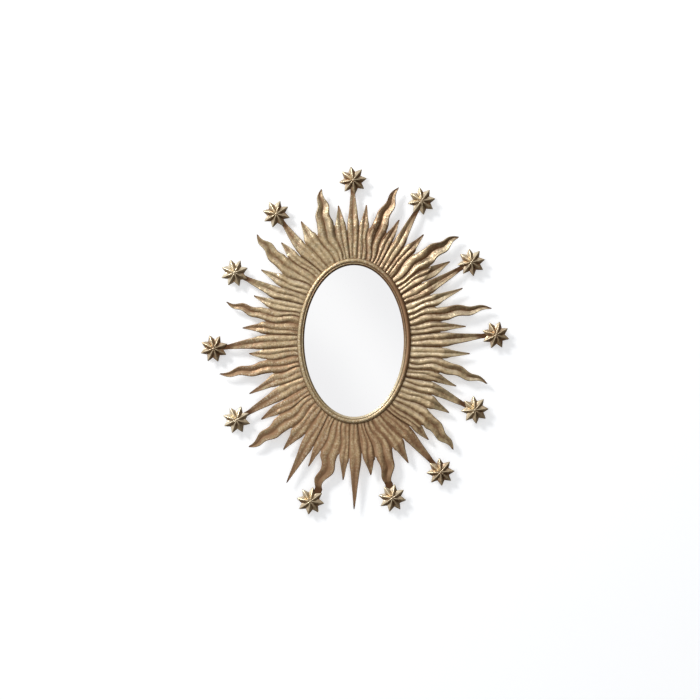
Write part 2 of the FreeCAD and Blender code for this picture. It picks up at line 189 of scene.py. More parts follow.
@dataclass
class Surface:
    """Points, faces and point attributes of a piece, gathered before its mesh is made."""

    points: list = field(default_factory=list)
    faces: list = field(default_factory=list)
    marks: dict = field(default_factory=dict)
    count: int = 0

    def add_points(self, points: np.ndarray, **marks: np.ndarray) -> np.ndarray:
        """Adds a grid of points in millimetres with named values on them.

        Args:
            points: Array of shape (rows, columns, 3).
            marks: Arrays of shape (rows, columns), or single numbers.

        Returns:
            The grid of the new vertices' numbers.
        """
        rows, columns = points.shape[:2]
        index = self.count + np.arange(rows * columns).reshape(rows, columns)
        self.count += rows * columns
        self.points.append(points.reshape(-1, 3))
        for name, values in marks.items():
            full = np.broadcast_to(np.asarray(values, dtype=float), (rows, columns))
            self.marks.setdefault(name, []).append(full.reshape(-1))
        return index

    def add_quads(self, quads: np.ndarray) -> None:
        """Adds quads given as rows of four vertex numbers."""
        self.faces += quads.tolist()

    def close(self, ring: np.ndarray, centre: tuple | np.ndarray, flip: bool,
              **marks: float) -> None:
        """Closes a ring of vertices with triangles to a new vertex.

        Args:
            ring: The ring's vertex numbers.
            centre: The new vertex's place, in millimetres.
            flip: Whether the triangles face the other way.
            marks: The new vertex's named values.
        """
        middle = self.add_points(np.asarray(centre, dtype=float)[None, None, :], **marks)
        fan = np.stack([np.full(ring.size, middle[0, 0]), ring, np.roll(ring, -1)], axis=-1)
        self.faces += (fan[:, ::-1] if flip else fan).tolist()

    def make(self, name: str, finish: "Finish") -> bpy.types.Object:
        """Makes the mesh object, with its place in its mesh.

        Args:
            name: The piece's name.
            finish: The finish of the whole piece.

        Returns:
            The new object, linked to the scene.
        """
        mesh = bpy.data.meshes.new(name)
        mesh.from_pydata(np.concatenate(self.points) * METRES, [], self.faces)
        for mark, values in self.marks.items():
            layer = mesh.attributes.new(mark, "FLOAT", "POINT")
            layer.data.foreach_set("value", np.concatenate(values).astype(np.float32))
        mesh.shade_smooth()
        mesh.materials.append(finish.material())
        mesh.update()
        piece = bpy.data.objects.new(name, mesh)
        bpy.context.scene.collection.objects.link(piece)
        return piece


def thicken(piece: bpy.types.Object, thickness: float) -> None:
    """Gives an open sheet its thickness, behind its front face.

    Args:
        piece: The sheet.
        thickness: Its thickness in millimetres.
    """
    shell = piece.modifiers.new("sheet", "SOLIDIFY")
    shell.thickness = thickness * METRES
    shell.offset = -1.0
    shell.use_even_offset = False


def place(piece: bpy.types.Object, body: str, slot: str, *nodes: str) -> bpy.types.Object:
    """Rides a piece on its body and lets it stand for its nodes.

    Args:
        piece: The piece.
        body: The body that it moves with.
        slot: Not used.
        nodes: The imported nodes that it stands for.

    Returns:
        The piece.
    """
    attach(piece, body)
    if nodes:
        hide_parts(*nodes)
    LOG.info("%s: %d vertices on %s", piece.name, len(piece.data.vertices), body)
    return piece


# Finishes


@dataclass(frozen=True)
class Value:
    """A node's output, which Python's operators join to others through Math nodes."""

    wiring: "Wiring"
    socket: bpy.types.NodeSocket

    def __add__(self, other: "Source") -> "Value":
        """The sum."""
        return self.wiring.math("ADD", self, other)

    def __sub__(self, other: "Source") -> "Value":
        """The difference."""
        return self.wiring.math("SUBTRACT", self, other)

    def __rsub__(self, other: "Source") -> "Value":
        """The difference from a plain number."""
        return self.wiring.math("SUBTRACT", other, self)

    def __mul__(self, other: "Source") -> "Value":
        """The product."""
        return self.wiring.math("MULTIPLY", self, other)

    def clamped(self) -> "Value":
        """The same value, which its own Math node now keeps between 0 and 1."""
        self.socket.node.use_clamp = True
        return self


Source = Value | bpy.types.NodeSocket | float | tuple


@dataclass
class Wiring:
    """Short calls that add and join nodes in one node tree."""

    tree: bpy.types.NodeTree

    def node(self, kind: str, **settings) -> bpy.types.Node:
        """Adds a node.

        Args:
            kind: The node's type, without its prefix.
            settings: The node's own settings.

        Returns:
            The new node.
        """
        made = self.tree.nodes.new(f"ShaderNode{kind}")
        for name, value in settings.items():
            setattr(made, name, value)
        return made

    def feed(self, target: bpy.types.NodeSocket, source: Source) -> None:
        """Joins a source to an input, or sets the input to a plain value.

        Args:
            target: The input.
            source: What it takes.
        """
        if isinstance(source, Value):
            source = source.socket
        if isinstance(source, bpy.types.NodeSocket):
            self.tree.links.new(source, target)
        else:
            target.default_value = source

    def feed_all(self, node: bpy.types.Node, inputs: dict) -> None:
        """Feeds a node's inputs, given by name or number."""
        for name, source in inputs.items():
            self.feed(node.inputs[name], source)

    def make(self, kind: str, inputs: dict, output: int | str = 0, **settings) -> Value:
        """Adds a node and feeds it.

        Args:
            kind: The node's type, without its prefix.
            inputs: What each input takes, by name or number.
            output: Name or number of the output that is wanted.
            settings: The node's own settings.

        Returns:
            That output.
        """
        made = self.node(kind, **settings)
        self.feed_all(made, inputs)
        return Value(self, made.outputs[output])

    def math(self, operation: str, first: Source, second: Source = 0.0) -> Value:
        """A Math node's output."""
        return self.make("Math", {0: first, 1: second}, operation=operation)

    def highest(self, first: Source, *others: Source) -> Value:
        """The highest of the values.

        Args:
            first: One value.
            others: The others.

        Returns:
            The output of the last Math node.
        """
        for other in others:
            first = self.math("MAXIMUM", first, other)
        return first

    def blend(self, share: Source, first: Source, second: Source) -> Value:
        """A colour mix's output."""
        return self.make("Mix", {"Factor": share, 6: first, 7: second}, 2,
                         data_type="RGBA", clamp_factor=True)

    def noise(self, vector: Source, scale: float, detail: float = 3.0,
              rough: float = 0.55) -> Value:
        """A noise texture's value."""
        return self.make("TexNoise", {"Vector": vector, "Scale": scale, "Detail": detail,
                                      "Roughness": rough})

    def span(self, value: Source, low: float, high: float, start: float = 0.0,
             end: float = 1.0) -> Value:
        """A smooth Map Range's output."""
        return self.make("MapRange", {0: value, 1: low, 2: high, 3: start, 4: end},
                         interpolation_type="SMOOTHSTEP")

    def slope(self, vector: Source, direction: tuple) -> Value:
        """How far a vector goes in a direction."""
        return self.make("VectorMath", {0: vector, 1: direction}, "Value",
                         operation="DOT_PRODUCT")

    def mark(self, name: str) -> Value:
        """A value that the mesh carries on its points."""
        return self.make("Attribute", {}, "Fac", attribute_name=name)

    def coordinates(self, name: str = "Object") -> Value:
        """Texture coordinates; the Object ones are in metres."""
        return self.make("TexCoord", {}, name)

    def bump(self, shader: bpy.types.Node, height: Source, distance: float,
             strength: float = 1.0) -> None:
        """Feeds the shader's normal from a height."""
        self.feed(shader.inputs["Normal"], self.make(
            "Bump", {"Strength": strength, "Distance": distance, "Height": height}))


# Inputs of the gilding group: kind, then starting values where an input may stay free
GILDING_INPUTS = (
    ("Vector", {"Vector": None, "Streak": None}),
    ("Float", {"Hollow": 0.0, "Reach": 0.0, "Tone": 0.5, "Bold": 0.5, "Warm": 0.3,
               "Facing": 0.0, "Wear": None, "Dirt": None, "Gloss": None}),
    ("Color", {"Cream": CREAM, "Bright": None, "Middle": None, "Patina": None}),
)
GILDING_OUTPUTS = {"Color": "Color", "Roughness": "Float", "Metal": "Float", "Height": "Float"}


def gilding_sockets(group: bpy.types.NodeTree) -> None:
    """Gives the gilding group its named inputs and outputs.

    Args:
        group: The gilding's node tree.
    """
    for kind, inputs in GILDING_INPUTS:
        for name, value in inputs.items():
            made = group.interface.new_socket(name, in_out="INPUT",
                                              socket_type=f"NodeSocket{kind}")
            if value is not None:
                made.default_value = value
    for name, kind in GILDING_OUTPUTS.items():
        group.interface.new_socket(name, in_out="OUTPUT", socket_type=f"NodeSocket{kind}")


def old_gilding() -> bpy.types.NodeTree:
    """The group for aged gilt metal: tone, patina in hollows, worn crests, pits and dents, and
    painted highlight and shade by how a face turns to the key light.

    Returns:
        A node group that puts out the colour, roughness, metal share and height.
    """
    name = "old_gilding"
    if name in bpy.data.node_groups:
        return bpy.data.node_groups[name]
    group = bpy.data.node_groups.new(name, "ShaderNodeTree")
    gilding_sockets(group)
    w = Wiring(group)
    source = group.nodes.new("NodeGroupInput").outputs
    given = {name: Value(w, source[name]) for _, inputs in GILDING_INPUTS for name in inputs}
    vector, hollow, reach, tone = (given[name] for name in ("Vector", "Hollow", "Reach", "Tone"))
    bold, warm, facing = (given[name] for name in ("Bold", "Warm", "Facing"))
    wear, dirt = given["Wear"], given["Dirt"]

    # Noises, from the broadest to the finest, and the hammer's dents
    cloud = w.noise(vector, 26.0, 4.0)
    mottle = w.noise(vector, 170.0, 5.0, 0.65)
    speck = w.noise(vector, 420.0, 4.0, 0.7)
    grain = w.noise(vector, 1100.0, 3.0, 0.7)
    dents = w.make("TexVoronoi", {"Vector": vector, "Scale": 105.0, "Smoothness": 0.9},
                   "Distance", feature="SMOOTH_F1")

    # The gold itself: darker in hollows and far out on dull rays, with olive and ruddy spots
    dim = (0.8 - tone).clamped() * w.span(reach, 0.3, 0.7)
    lift = cloud * 0.6 + mottle * 0.8 + speck * 0.8 - 0.6
    lift = lift + (tone - 0.5) * 0.4 - hollow * 0.22 - dim * 0.75
    gold = w.blend(w.span(lift, 0.3, 0.62), given["Middle"], given["Bright"])
    moss = w.noise(vector, 90.0, 4.0, 0.6) - warm * 0.25 + w.span(reach, 0.3, 0.6, 0.0, 0.2)
    gold = w.blend(w.span(moss, 0.3, 0.62, 0.0, 0.75), gold, OLIVE)
    blush = w.noise(vector, 70.0, 5.0, 0.65) + warm * 0.2 + hollow * 0.28 + (0.5 - tone) * 0.2
    gold = w.blend(w.span(blush, 0.55, 0.82, 0.0, 0.75), gold, RUDDY)

    # Patina: grime in hollows, dark ends, runs along the rays and spots; then painted shade that
    # darkens faces turned away from the key light
    grime = w.span(hollow, 0.45, 1.0) * dirt * w.span(mottle, 0.25, 0.7, 0.55, 1.15)
    ends = w.span(reach, 0.5, 1.0, 0.0, 0.55) + w.span(reach, 0.86, 1.0, 0.0, 1.1)
    ends = ends * dirt * w.span(warm, 0.08, 0.3, 0.3, 1.0)
    streak = w.noise(given["Streak"], 1.0, 5.0, 0.6)
    run = w.span(streak, 0.48, 0.66) * w.span(speck, 0.3, 0.6, 0.3, 0.95)
    run = run * w.span(bold, 0.2, 1.1, 0.2, 0.85) * (1.6 - tone)
    stain_and_shade = w.highest(grime, ends, run) + w.span(mottle, 0.56, 0.74, 0.0, 0.4)
    # Painted shade: faces turned away from the key light darken towards the patina colour
    stain_and_shade = (stain_and_shade + w.span(facing, -0.03, -0.3, 0.0, 0.24) * bold).clamped()
    bare_unshaded = 1.0 - stain_and_shade

    # Wear: bright crests and flakes; and a painted cream highlight on faces turned towards the key
    # light
    worn = (1.0 - w.span(hollow, 0.0, 0.3)) * wear * (1.0 - dim * 1.6).clamped()
    worn = worn * (w.span(mottle, 0.35, 0.6) - run).clamped()
    color = w.blend(worn, w.blend(stain_and_shade, gold, given["Patina"]), given["Bright"])
    # Painted highlight: faces turned towards the key light turn cream
    painted_highlight = w.span(facing, 0.02, 0.3, 0.0, 0.55) * bold * bare_unshaded
    painted_highlight = painted_highlight * w.span(speck, 0.38, 0.6, 0.45, 1.15) * w.span(tone, 0.1, 1.1, 0.5, 1.4)
    flake = w.span(w.noise(vector, 290.0, 3.0, 0.6), 0.52, 0.61, 0.0, 0.8)
    flake = flake * w.span(hollow, 0.1, 0.5, 1.0, 0.0) * w.span(wear, 0.15, 0.5)
    flake = flake * w.span(warm, 0.35, 0.75, 1.0, 0.3) * w.span(bold, 0.7, 1.0, 1.0, 0.4) * bare_unshaded

    height = dents * 0.9 + mottle * 0.5 + speck * 0.3 + grain * 0.12
    rough = given["Gloss"] + stain_and_shade * 0.22 + (mottle - 0.5) * 0.35 - worn * 0.06
    w.feed_all(group.nodes.new("NodeGroupOutput"), {
        "Color": w.blend(w.highest(painted_highlight, flake), color, given["Cream"]),
        "Roughness": rough.clamped(),
        "Metal": (0.95 - stain_and_shade * 0.3).clamped(),
        "Height": height * w.span(bold, 0.2, 1.1, 0.4, 1.3)})
    return group


@dataclass(frozen=True)
class Finish:
    """A finish that makes its material once."""

    name: str

    def material(self) -> bpy.types.Material:
        """The finish's material, made at its first use.

        Returns:
            The material.
        """
        if self.name in bpy.data.materials:
            return bpy.data.materials[self.name]
        made = bpy.data.materials.new(self.name)
        made.use_nodes = True
        made.node_tree.nodes.clear()
        wiring = Wiring(made.node_tree)
        shader = wiring.node("BsdfPrincipled")
        self.wire(wiring, shader)
        output = wiring.node("OutputMaterial")
        wiring.feed(output.inputs["Surface"], self.surface(wiring, shader))
        return made

    def wire(self, wiring: Wiring, shader: bpy.types.Node) -> None:
        """Feeds the shader; each finish has its own way."""

    def surface(self, wiring: Wiring, shader: bpy.types.Node) -> Source:
        """What the material shows: the shader, unless a finish changes that."""
        return shader.outputs[0]


@dataclass(frozen=True)
class GiltMetal(Finish):
    """Aged gilt sheet metal, with its own tone, dirt, wear and gloss, and painted highlight and
    shade by how each face turns to the key light.
    """

    bright: tuple = (0.61, 0.465, 0.275, 1.0)
    middle: tuple = (0.375, 0.25, 0.13, 1.0)
    patina: tuple = (0.115, 0.052, 0.020, 1.0)
    wear: float = 0.5
    dirt: float = 0.6
    gloss: float = 0.36
    dent: float = 0.0006
    marked: bool = True
    streaks: tuple = (0.0, 0.0, 0.0)
    key_light_side: tuple = (-0.62, 0.0, 0.78)

    def wire(self, wiring: Wiring, shader: bpy.types.Node) -> None:
        """Feeds the shader from the gilding group and the piece's own marks.

        Args:
            wiring: The material's node tree.
            shader: Its Principled shader.
        """
        inputs = {"Vector": wiring.coordinates(), "Bright": self.bright, "Middle": self.middle,
                  "Patina": self.patina, "Wear": self.wear, "Dirt": self.dirt,
                  "Gloss": self.gloss}
        if self.marked:
            for mark in ("hollow", "reach", "tone", "bold", "warm"):
                inputs[mark.capitalize()] = wiring.mark(mark)
            spot = wiring.make("CombineXYZ", {0: wiring.mark("strand"), 1: wiring.mark("run")})
            inputs["Streak"] = wiring.make("VectorMath", {0: spot, 1: self.streaks},
                                           operation="MULTIPLY")
            # Facing: how far the normal turns towards the key light, for the painted highlight and
            # shade
            inputs["Facing"] = wiring.slope(wiring.coordinates("Normal"), self.key_light_side)
        gilding = wiring.node("Group", node_tree=old_gilding())
        wiring.feed_all(gilding, inputs)
        for name, output in (("Base Color", "Color"), ("Roughness", "Roughness"),
                             ("Metallic", "Metal")):
            wiring.feed(shader.inputs[name], gilding.outputs[output])
        wiring.bump(shader, gilding.outputs["Height"], self.dent)


@dataclass(frozen=True)
class SilveredGlass(Finish):
    """Flat silvered glass with a painted reflection: a little greyer towards two of its corners."""

    def wire(self, wiring: Wiring, shader: bpy.types.Node) -> None:
        """Feeds the shader with a near-perfect mirror.

        Args:
            wiring: The material's node tree.
            shader: Its Principled shader.
        """
        vector = wiring.coordinates()
        # Painted reflection: the silvering greys towards two corners, standing in for the studio's
        # grey in the glass
        painted_reflection = wiring.math("ABSOLUTE", wiring.slope(vector, (4.2, 0.0, 3.2)))
        painted_reflection = wiring.span(painted_reflection + wiring.noise(vector, 5.0, 1.0) * 0.3, 0.15, 0.95)
        tint = wiring.blend(painted_reflection, (0.955, 0.955, 0.96, 1.0), (0.87, 0.87, 0.88, 1.0))
        wiring.feed_all(shader, {"Base Color": tint, "Metallic": 1.0, "Roughness": 0.03})


@dataclass(frozen=True)
class Hardboard(Finish):
    """Brown pressed board with a faint fibre."""

    def wire(self, wiring: Wiring, shader: bpy.types.Node) -> None:
        """Feeds the shader with two scales of fibre.

        Args:
            wiring: The material's node tree.
            shader: Its Principled shader.
        """
        vector = wiring.coordinates()
        fibre = wiring.noise(vector, 420.0, 6.0, 0.75)
        cloud = wiring.span(wiring.noise(vector, 12.0), 0.4, 0.7, 0.0, 0.4)
        color = wiring.blend(wiring.span(fibre, 0.3, 0.7), (0.15, 0.085, 0.04, 1.0),
                             (0.30, 0.19, 0.10, 1.0))
        color = wiring.blend(cloud, color, (0.20, 0.13, 0.075, 1.0))
        wiring.feed_all(shader, {"Base Color": color,
                                 "Roughness": wiring.span(fibre, 0.2, 0.8, 0.9, 0.7)})
        wiring.bump(shader, fibre, 0.0003, 0.8)


@dataclass(frozen=True)
class BumperRubber(Finish):
    """Dark brown rubber with a matte, dusty skin."""

    def wire(self, wiring: Wiring, shader: bpy.types.Node) -> None:
        """Feeds the shader with a fine pebble and dust.

        Args:
            wiring: The material's node tree.
            shader: Its Principled shader.
        """
        vector = wiring.coordinates()
        pebble = wiring.noise(vector, 1600.0, 2.0, 0.6)
        dust = wiring.noise(vector, 180.0, 4.0, 0.6)
        color = wiring.blend(wiring.span(dust, 0.45, 0.75, 0.0, 0.5),
                             (0.035, 0.028, 0.024, 1.0), (0.11, 0.095, 0.08, 1.0))
        wiring.feed_all(shader, {"Base Color": color,
                                 "Roughness": wiring.span(dust, 0.3, 0.8, 0.6, 0.85)})
        wiring.bump(shader, pebble, 0.00015, 0.7)


@dataclass(frozen=True)
class WallPaint(Finish):
    """White wall: pale paint that keeps the shadow, lifted to white for the camera."""

    lift: float = 0.40

    def wire(self, wiring: Wiring, shader: bpy.types.Node) -> None:
        """Feeds the shader with matte paint and the lift, which only the camera sees.

        Args:
            wiring: The material's node tree.
            shader: Its Principled shader.
        """
        camera = wiring.make("LightPath", {}, "Is Camera Ray")
        wiring.feed_all(shader, {"Base Color": (0.80, 0.80, 0.80, 1.0), "Roughness": 0.9,
                                 "Specular IOR Level": 0.0, "Emission Color": WHITE,
                                 "Emission Strength": camera * self.lift})

    def surface(self, wiring: Wiring, shader: bpy.types.Node) -> Source:
        """Leaves the wall to the camera in front of it alone.

        Args:
            wiring: The material's node tree.
            shader: Its Principled shader.

        Returns:
            The shader where that camera looks, and a clear one elsewhere.
        """
        camera = wiring.make("LightPath", {}, "Is Camera Ray")
        shown = camera * (1.0 - wiring.make("NewGeometry", {}, "Backfacing"))
        clear = wiring.make("BsdfTransparent", {})
        return wiring.make("MixShader", {0: 1.0 - shown, 1: shader.outputs[0], 2: clear})


class Finishes:
    """The object's finishes, by the place where each is used."""

    RAYS = GiltMetal("hammered_old_gold", streaks=(0.17, 0.02, 0.0), gloss=0.4, dent=0.0010)
    STARS = GiltMetal("rubbed_star_gold_painted_light", bright=(0.68, 0.56, 0.38, 1.0),
                      middle=(0.38, 0.26, 0.14, 1.0), wear=0.7, dirt=0.85, gloss=0.33,
                      dent=0.0002)
    RIM = GiltMetal("beaded_rim_gold", bright=(0.48, 0.365, 0.205, 1.0),
                    middle=(0.33, 0.23, 0.12, 1.0), wear=0.6, dirt=0.9, gloss=0.47, dent=0.0004)
    PLAIN = GiltMetal("plain_back_brass", bright=(0.42, 0.31, 0.17, 1.0),
                      middle=(0.24, 0.165, 0.085, 1.0), wear=0.2, dirt=0.3, gloss=0.46,
                      dent=0.0002, marked=False)
    WIRE = GiltMetal("worn_ring_wire", bright=(0.66, 0.51, 0.28, 1.0),
                     middle=(0.42, 0.30, 0.15, 1.0), wear=0.4, dirt=0.2, gloss=0.3,
                     dent=0.0001, marked=False)
    GLASS = SilveredGlass("silvered_glass")
    BOARD = Hardboard("pressed_hardboard")
    RUBBER = BumperRubber("bumper_rubber")


# The sunburst


@dataclass(frozen=True)
class Layout:
    """The oval and the places of every ray on it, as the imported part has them."""

    half_width: float = 124.5
    half_height: float = 189.5
    rim_width: float = 18.0
    twist: float = 4.0
    notch_reach: float = 77.0
    tuck: float = 11.0
    wave: float = 3.0
    flute_level: float = 22.0
    tip_level: float = 18.5

    def oval(self, across: Numbers, turn: Numbers) -> np.ndarray:
        """Points of an oval in the wall plane, drawn outwards from the opening's edge.

        Args:
            across: Distance outwards from the opening's edge.
            turn: Degrees clockwise from the top.

        Returns:
            Array whose last axis holds x, out = 0 and z.
        """
        angle = np.radians(np.asarray(turn, dtype=float))
        across = np.asarray(across, dtype=float) + 0.0 * angle
        return np.stack([(self.half_width + across) * np.sin(angle), 0.0 * across,
                         (self.half_height + across) * np.cos(angle)], axis=-1)

    def turn(self, spot: float) -> float:
        """Turn of a place in ray pitches: even, plus a sine that follows the oval."""
        even = FULL_TURN / RAYS * spot
        return even + self.twist * math.sin(2.0 * math.radians(even))

    def tip(self, ray: int) -> np.ndarray:
        """The end of a ray, or the middle of the star that it carries.

        Args:
            ray: The ray's number, clockwise from the top.

        Returns:
            A point of the wall plane.
        """
        gore, spot = divmod(ray % RAYS, len(KINDS))
        drift, share = TIP_SHARES[gore][spot]
        return self.oval(self.rim_width + KINDS[spot].reach * share, self.turn(ray % RAYS + drift))

    def valley(self, ray: int, share: np.ndarray) -> np.ndarray:
        """The valley on a ray's clockwise side: a straight run that waves beside a flame.

        Args:
            ray: The ray's number, clockwise from the top.
            share: 0 under the rim, 1 at the notch.

        Returns:
            A point for each share.
        """
        gore, spot = divmod(ray % RAYS, len(KINDS))
        drift, reach = NOTCH_SHARES[gore][spot]
        start = FULL_TURN / RAYS * (ray + 0.5)
        end = self.turn(ray % RAYS + 0.5 + drift) - (FULL_TURN if ray < 0 else 0.0)
        turns = mix(start, end, share)
        across = mix(-self.tuck, self.notch_reach * reach, share) + self.rim_width
        points = self.oval(across, turns)
        if RayKind.FLAME not in (KINDS[ray % len(KINDS)], KINDS[(ray + 1) % len(KINDS)]):
            return points
        outward = self.oval(self.rim_width, turns)
        side = np.stack([outward[..., 2], 0.0 * outward[..., 0], -outward[..., 0]], axis=-1)
        side /= np.linalg.norm(side, axis=-1, keepdims=True)
        return points + side * (self.wave * np.sin(2.0 * np.pi * share))[..., None]


@dataclass(frozen=True)
class RaySeed:
    """What a ray's free part takes over from its fluted part."""

    tone: float
    crease: np.ndarray
    phase: float
    bold: float
    warm: float
    sharp: float
    shift: float


@dataclass(frozen=True)
class Gore:
    """One gore: four rays hammered from one sheet, fluted near the rim and free beyond it."""

    layout: Layout
    number: int
    columns: int = 33
    fluted_rows: int = 34
    free_rows: int = 56
    tongue_rows: int = 6
    sheet: float = 1.2
    rim_rise: float = 4.5
    rise_share: float = 0.19
    ripple: float = 0.06
    fillet: float = 0.05
    hem: float = 0.86
    fluted_reach: float = 0.35
    sway: float = 6.5
    tongue_width: float = 12.0
    flame_tongue_width: float = 18.0
    point_width: float = 2.6
    star_radius: float = 35.0
    ray_span: float = 24.0

    @staticmethod
    def relief(across: np.ndarray, crest: Numbers, edge: Numbers, crease: Numbers,
               fullness: float) -> np.ndarray:
        """A half-section of a ray: a sine's power up from the crease, a cosine's down to the edge.

        Args:
            across: 0 at the crease, 1 at the edge.
            crest: Where the crest lies between them.
            edge: Height left at the edge.
            crease: Height left at the crease.
            fullness: The power; a smaller one gives fuller lobes and narrower grooves.

        Returns:
            Heights from 0 to 1.
        """
        inner = np.sin(0.5 * np.pi * np.clip(across / crest, 0.0, 1.0)) ** fullness
        fall = np.clip((across - crest) / (1.0 - crest), 0.0, 1.0)
        outer = np.cos(0.5 * np.pi * fall) ** fullness
        return np.where(across < crest, mix(crease, 1.0, inner), mix(edge, 1.0, outer))

    def fold(self, across: np.ndarray) -> np.ndarray:
        """A half-section of a free ray: straight up from the fold, with a slightly lower hem."""
        return np.where(across < self.hem, across / self.hem, 1.0 - 1.8 * (across - self.hem))

    def flame_sway(self, ray: int, along: np.ndarray) -> np.ndarray:
        """Sideways sway of a flame: two cosine curls, the outer one smaller, and a hook.

        One with a star has a bend, and waves of one, two and three half turns.

        Args:
            ray: The ray's number, clockwise from the top.
            along: 0 at the root, 1 at the tip.

        Returns:
            The middle line's distance to the side.
        """
        if ray in STAR_FLAME_WAVES:
            bend, *heights = STAR_FLAME_WAVES[ray]
            half_turns = np.arange(1, len(heights) + 1)
            return bend * along + np.sin(np.pi * along[:, None] * half_turns) @ np.array(heights)
        curl = 0.5 - 0.5 * np.cos(4.0 * np.pi * along ** 1.36)
        hook = 2.2 * smooth(along, 0.9, 1.0)
        return self.sway * (0.3 * np.sin(np.pi * along) - curl * (1.0 - 0.5 * along)) + hook

    def widths(self, kind: RayKind, ray: int, notch_width: float, along: np.ndarray) -> np.ndarray:
        """Width of a free ray: a flame's falls by a power, a straight ray's evenly.

        Args:
            kind: The ray's kind.
            ray: The ray's number, clockwise from the top.
            notch_width: Distance between the ray's notches.
            along: 0 at the root, 1 at the tip.

        Returns:
            The widths.
        """
        has_star = ray in STAR_TURNS
        if kind is RayKind.FLAME:
            end = self.flame_tongue_width if has_star else self.point_width
            body, blend = notch_width * 0.8, 0.07
            width = body * (1.0 - (0.62 if has_star else 0.92) * along ** 2.2)
            width = np.maximum(width, end + 1.4)
        else:
            end = self.tongue_width if has_star else self.point_width
            body, blend = notch_width * (0.92 if kind is RayKind.LONG else 0.88), 0.06
            width = mix(body, end, along)
        start = notch_width * (1.0 - 2.0 * kind.cut)
        width = width + (start - body) * np.exp(-along / blend)
        if has_star:
            return width
        return width * np.sqrt(1.0 - 0.8 * smooth(along, 0.965, 1.0))

    def build(self) -> bpy.types.Object:
        """Builds the gore: one fluted grid, with a free grid grown from each ray's last row.

        Returns:
            The new object.
        """
        span = self.columns - 1
        hand = np.random.default_rng(GORE_DRAWS + self.number)
        rows = np.linspace(0.0, 1.0, self.fluted_rows)[:, None]
        blocks, hollows, seeds = [], [], []
        for spot, kind in enumerate(KINDS):
            points, hollow, seed = self.flute(self.number * len(KINDS) + spot, kind, rows, hand)
            kept = span if spot + 1 < len(KINDS) else span + 1
            blocks.append(points[:, :kept])
            hollows.append(hollow[:, :kept])
            seeds.append(seed)
        grid = np.concatenate(blocks, axis=1)
        columns = [block.shape[1] for block in blocks]
        marks = {name: np.repeat([getattr(seed, name) for seed in seeds], columns)[None, :]
                 for name in ("tone", "bold", "warm")}
        strand = self.number * len(KINDS) + np.arange(grid.shape[1]) / span
        surface = Surface()
        index = surface.add_points(grid, hollow=np.concatenate(hollows, axis=1),
                                   reach=self.fluted_reach * rows,
                                   strand=self.ray_span * strand[None, :],
                                   run=self.layout.notch_reach * rows, **marks)
        surface.add_quads(grid_quads(index))
        for spot, seed in enumerate(seeds):
            self.free_ray(surface, index, grid, spot, seed)
        piece = surface.make(f"gore_sheet_{self.number + 1:02d}", Finishes.RAYS)
        thicken(piece, self.sheet)
        return piece

    def flute(self, ray: int, kind: RayKind, rows: np.ndarray,
              hand: np.random.Generator) -> tuple:
        """The fluted part of one ray, an M-shaped section from the rim to the notches.

        Args:
            ray: The ray's number, clockwise from the top.
            kind: The ray's kind.
            rows: A column of shares, 0 under the rim and 1 at the notch.
            hand: The gore's random draws.

        Returns:
            The grid of points, how hollow each is, and the seed of the free part.
        """
        layout = self.layout
        turn = layout.turn(ray)
        bold, pale, warm, sharp, shift = (
            by_turn(turn, table) for table in (BOLDNESS, PALENESS, WARMTH, SHARPNESS, FREE_SHIFT))
        share = np.linspace(0.0, 1.0, self.columns)[None, :]
        corner = np.clip(1.0 - np.minimum(share, 1.0 - share) / kind.cut, 0.0, 1.0)
        along = rows * (1.0 + self.fillet * np.sqrt(1.0 - corner ** 2))
        left, right = layout.valley(ray - 1, along), layout.valley(ray, along)
        points = mix(left, right, share[..., None])
        width = np.linalg.norm(right - left, axis=-1)

        gain = mix(*hand.uniform(0.72, 1.0, 2), smooth(share, 0.3, 0.7))
        rim_rise = self.rim_rise * (0.2 + 0.8 * bold)
        rise = mix(rim_rise, bold * self.rise_share * width, along ** 0.7) * gain
        rise = rise * (0.7 + 0.3 * smooth(along, 0.1, 0.26))
        waves = np.sin(along * 9.0 + hand.uniform(0.0, 6.3))
        rise = rise * (1.0 + self.ripple * (waves - 1.0))

        lean = hand.uniform(-0.09, 0.09) + hand.uniform(-0.06, 0.06) * along
        wander = 0.09 if kind is RayKind.FLAME else 0.05
        lean = lean + wander * np.sin(5.5 * along + 2.4 * ray)
        lean = lean * (1.0 - smooth(along, 0.6, 1.0))
        across = np.abs(2.0 * (share + 4.0 * lean * share * (1.0 - share)) - 1.0)
        crease = kind.crease + hand.uniform(-0.15, 0.2) * smooth(along, 0.0, 0.8)
        crease = np.clip(crease, 0.0, 0.8)
        height = self.relief(across, 0.5, 0.0, crease, mix(1.4, 0.9, bold))
        points[..., 1] = -(layout.flute_level + rise * height)

        depth = mix(0.25 + 0.75 * bold, 0.4 + 0.6 * bold, smooth(along, 0.0, 0.4))
        tone = pale + hand.uniform(-0.25, 0.25)
        if kind is RayKind.FLAME:
            sharp = (sharp + bold) / 2.0
        seed = RaySeed(tone, crease[-1:], hand.uniform(0.0, 6.3), bold, warm, sharp, shift)
        return points, (1.0 - height) * depth, seed

    def free_ray(self, surface: Surface, index: np.ndarray, grid: np.ndarray, spot: int,
                 seed: RaySeed) -> None:
        """Grows a ray's free part from the middle of its last fluted row.

        Rows lie across a middle line from the root to the tip, and blend from the
        slant of the last fluted row. The section turns from an M to a channel.

        Args:
            surface: The gore's surface.
            index: Vertex numbers of the fluted grid.
            grid: Points of the fluted grid.
            spot: The ray's place in the gore.
            seed: What it takes over from its fluted part.
        """
        layout, span, kind = self.layout, self.columns - 1, KINDS[spot]
        ray = self.number * len(KINDS) + spot
        has_star, is_flame = ray in STAR_TURNS, kind is RayKind.FLAME
        trim = max(1, int(round(kind.cut * span)))
        first, stop = spot * span + trim, (spot + 1) * span - trim + 1
        base = grid[-1, first:stop].copy()
        base_rise = -base[:, 1] - layout.flute_level
        base[:, 1] = 0.0
        along = np.linspace(0.0, 1.0, self.free_rows + 1)[1:]
        across = np.linspace(-1.0, 1.0, stop - first)

